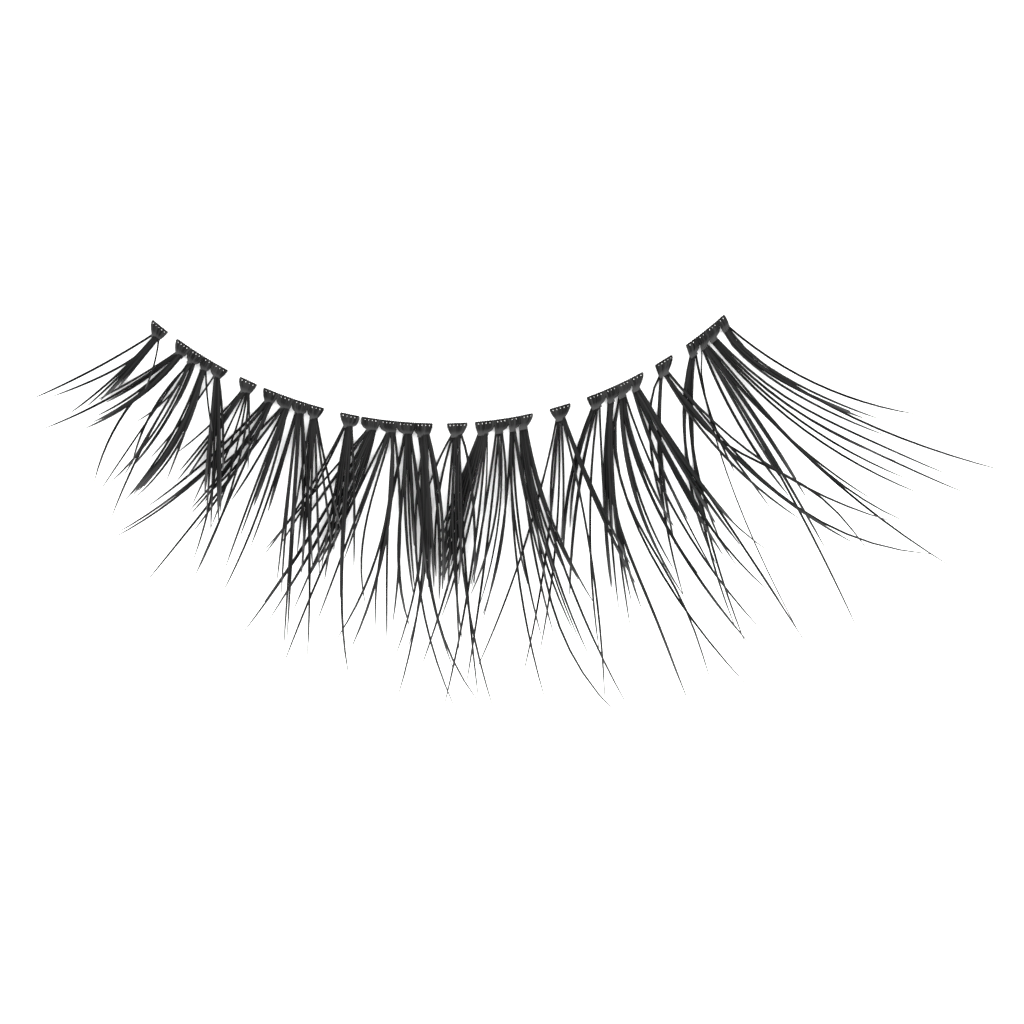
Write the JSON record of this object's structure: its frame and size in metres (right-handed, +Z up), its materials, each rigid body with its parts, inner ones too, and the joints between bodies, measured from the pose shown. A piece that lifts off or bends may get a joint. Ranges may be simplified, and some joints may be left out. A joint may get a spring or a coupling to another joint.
{
  "type": "false eyelash strip",
  "caption": "Curved strip of black false lashes: a clear band threaded through wrapped heads of hair, each with a fan of tapered lashes that curl up and cross their neighbours.",
  "frame": {"origin": "middle of the strip's footprint, on the surface that it lies on", "axes": "+X from the inner to the outer corner of the eye, -Y the way the lashes point, +Z up from the surface"},
  "size_m": [0.0506, 0.0204, 0.0057],
  "materials": {
    "black_fibre": "satin synthetic fibre",
    "clear_band": "clear, glossy"
  },
  "bodies": {
    "root": {"clear_band": "clear_band", "tuft_01": "black_fibre", "tuft_02": "black_fibre", "tuft_03": "black_fibre", "tuft_04": "black_fibre", "tuft_05": "black_fibre", "tuft_06": "black_fibre", "tuft_07": "black_fibre", "tuft_08": "black_fibre", "tuft_09": "black_fibre", "tuft_10": "black_fibre", "tuft_11": "black_fibre", "tuft_12": "black_fibre", "tuft_13": "black_fibre", "tuft_14": "black_fibre", "tuft_15": "black_fibre", "tuft_16": "black_fibre", "tuft_17": "black_fibre", "tuft_18": "black_fibre", "tuft_19": "black_fibre", "tuft_20": "black_fibre", "tuft_21": "black_fibre", "tuft_22": "black_fibre", "tuft_23": "black_fibre", "tuft_24": "black_fibre", "tuft_25": "black_fibre", "tuft_26": "black_fibre", "tuft_27": "black_fibre", "tuft_28": "black_fibre", "tuft_29": "black_fibre", "tuft_30": "black_fibre"}
  },
  "joints": []
}
